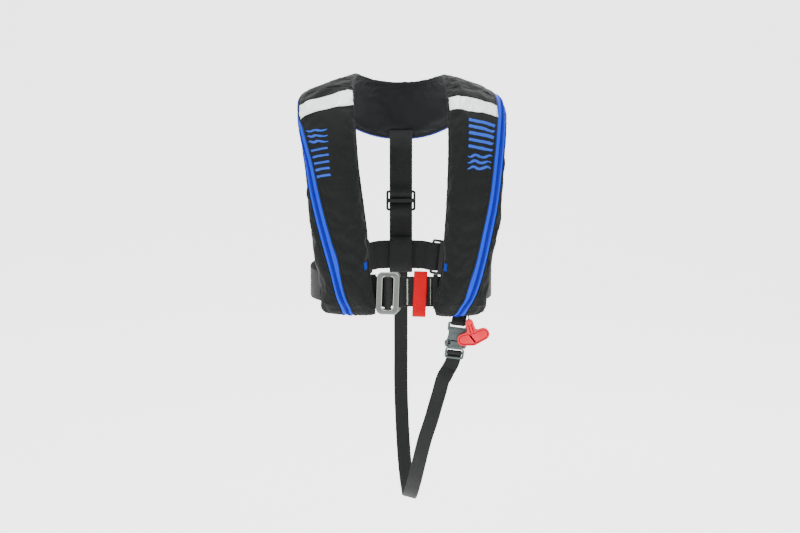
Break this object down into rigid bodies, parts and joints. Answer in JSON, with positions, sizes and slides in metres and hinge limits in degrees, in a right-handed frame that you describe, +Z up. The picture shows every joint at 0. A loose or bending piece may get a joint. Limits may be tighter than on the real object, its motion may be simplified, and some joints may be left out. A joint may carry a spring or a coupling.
{
  "type": "inflatable life jacket",
  "caption": "Collar-shaped inflatable life jacket with a zipped cover, waist belt with a steel slide buckle, crotch strap with a side-release clip and a red pull handle.",
  "frame": {"origin": "centre of the neck opening, at the height of the shoulders", "axes": "+X to the wearer's left, +Y to the wearer's back, +Z up"},
  "size_m": [0.3477, 0.2876, 0.7324],
  "materials": {
    "bladder": "PU coated heat sealed fabric",
    "blue_tab": "folded ribbon",
    "brass": "turned",
    "clip_plastic": "acetal, satin",
    "cord": "braided cord",
    "cover_fabric": "woven nylon, PU backed, dull",
    "cylinder_steel": "zinc plated",
    "inflator_cap": "moulded",
    "inflator_plastic": "moulded, fine grain",
    "lining_fabric": "soft woven lining",
    "red_handle": "moulded",
    "red_plastic": "moulded, satin",
    "red_webbing": "woven webbing",
    "reflective_tape": "retro-reflective beaded tape",
    "steel": "satin stainless",
    "stitching": "bonded thread",
    "tube_rubber": "moulded",
    "valve_plastic": "moulded",
    "webbing": "flat woven polyester webbing",
    "whistle_plastic": "moulded",
    "zip_coil": "moulded nylon coil",
    "zip_hardware": "enamelled black",
    "zip_tape": "woven zip tape"
  },
  "bodies": {
    "jacket": {"right_front_panel": "cover_fabric", "left_front_panel": "cover_fabric", "right_side_panel": "cover_fabric", "left_side_panel": "cover_fabric", "right_lining": "lining_fabric", "left_lining": "lining_fabric", "collar_cover": "cover_fabric", "collar_lining": "lining_fabric", "right_reflective_band": "reflective_tape", "left_reflective_band": "reflective_tape", "zip_tape": "zip_tape", "zip_coil": "zip_coil", "air_bladder": "bladder", "inflator_body": "inflator_plastic", "inflator_cap": "inflator_cap", "lever_pin": "steel", "manifold_nut": "brass", "oral_tube": "tube_rubber", "whistle": "whistle_plastic", "right_belt_tunnel": "webbing", "left_belt_tunnel": "webbing", "edge_tabs": "blue_tab", "belt_right": "webbing", "belt_tail": "webbing", "belt_back": "webbing", "belt_left": "webbing", "belt_adjusters": "clip_plastic", "belt_stitching": "stitching", "buckle_ring": "steel", "back_strap": "webbing", "back_strap_adjuster": "clip_plastic", "strap_stitching": "stitching", "crotch_tab": "webbing", "clip_socket": "clip_plastic", "crotch_strap_rear": "webbing"},
    "zip_slider": {"zip_slider": "zip_hardware"},
    "zip_puller": {"zip_puller": "zip_hardware"},
    "inflator_lever": {"inflator_lever": "red_plastic"},
    "gas_cylinder": {"gas_cylinder": "cylinder_steel"},
    "oral_valve": {"oral_valve": "valve_plastic"},
    "oral_dust_cap": {"oral_dust_cap": "red_plastic"},
    "belt_tip": {"belt_end_loop": "webbing"},
    "slide_buckle": {"slide_buckle": "steel"},
    "lifting_loop": {"lifting_loop": "red_webbing"},
    "crotch_clip": {"clip_plug": "clip_plastic", "crotch_strap": "webbing"},
    "clip_prong_left": {"clip_prong_left": "clip_plastic"},
    "clip_prong_right": {"clip_prong_right": "clip_plastic"},
    "pull_cord": {"pull_cord": "cord"},
    "pull_handle": {"pull_handle": "red_handle"}
  },
  "joints": [
    {"name": "zip_slider_slide", "type": "slide", "parent": "jacket", "child": "zip_slider", "axis": [-0.8365, -0.2913, 0.4642], "range_m": [-0.008, 0.008]},
    {"name": "zip_puller_swing", "type": "hinge", "parent": "zip_slider", "child": "zip_puller", "pos_m": [-0.08665, 0.1159, -0.04921], "axis": [0.0616, -0.8917, -0.4485], "range_deg": [-45, 45]},
    {"name": "buckle_unhook", "type": "slide", "parent": "jacket", "child": "belt_tip", "axis": [0, -1, 0], "range_m": [0, 0.025]},
    {"name": "buckle_tilt", "type": "hinge", "parent": "belt_tip", "child": "slide_buckle", "pos_m": [-0.0216, -0.123, -0.299], "axis": [0, 0, 1], "range_deg": [0, 71]},
    {"name": "lifting_loop_slide", "type": "slide", "parent": "jacket", "child": "lifting_loop", "axis": [1, 0, 0], "range_m": [-0.005, 0.002]},
    {"name": "clip_release", "type": "slide", "parent": "jacket", "child": "crotch_clip", "axis": [-0.1219, 0, -0.9925], "range_m": [0, 0.035]},
    {"name": "prong_squeeze_left", "type": "hinge", "parent": "crotch_clip", "child": "clip_prong_left", "pos_m": [0.07562, -0.104, -0.39115], "axis": [0, 1, 0], "range_deg": [0, 8], "stiffness_Nm_per_rad": 0.05},
    {"name": "prong_squeeze_right", "type": "hinge", "parent": "crotch_clip", "child": "clip_prong_right", "pos_m": [0.10421, -0.104, -0.39466], "axis": [0, -1, 0], "range_deg": [0, 8], "stiffness_Nm_per_rad": 0.05},
    {"name": "handle_pull", "type": "slide", "parent": "jacket", "child": "pull_cord", "axis": [0, 0, -1], "range_m": [0, 0.026]},
    {"name": "handle_swing", "type": "hinge", "parent": "pull_cord", "child": "pull_handle", "pos_m": [0.1119, -0.1134, -0.3478], "axis": [0, 1, 0], "range_deg": [-30, 30]},
    {"name": "lever_turn", "type": "hinge", "parent": "jacket", "child": "inflator_lever", "pos_m": [0.09134, -0.13236, -0.28701], "axis": [-0.429, 0.8988, 0.0904], "range_deg": [0, 61]},
    {"name": "gas_cylinder_unscrew", "type": "hinge", "parent": "jacket", "child": "gas_cylinder", "pos_m": [0.10694, -0.12876, -0.24879], "axis": [0.0769, -0.0634, 0.995], "continuous": true},
    {"name": "oral_valve_press", "type": "slide", "parent": "jacket", "child": "oral_valve", "axis": [0.0535, 0.0756, -0.9957], "range_m": [0, 0.003], "stiffness_N_per_m": 60, "springref_m": -0.001},
    {"name": "oral_dust_cap_pull", "type": "slide", "parent": "jacket", "child": "oral_dust_cap", "axis": [-0.0535, -0.0756, 0.9957], "range_m": [0, 0.014]}
  ],
  "couplings": [
    {"joint": "buckle_tilt", "follows": "buckle_unhook", "rad_per_m": 48.8},
    {"joint": "lever_turn", "follows": "handle_pull", "rad_per_m": 40.2}
  ]
}
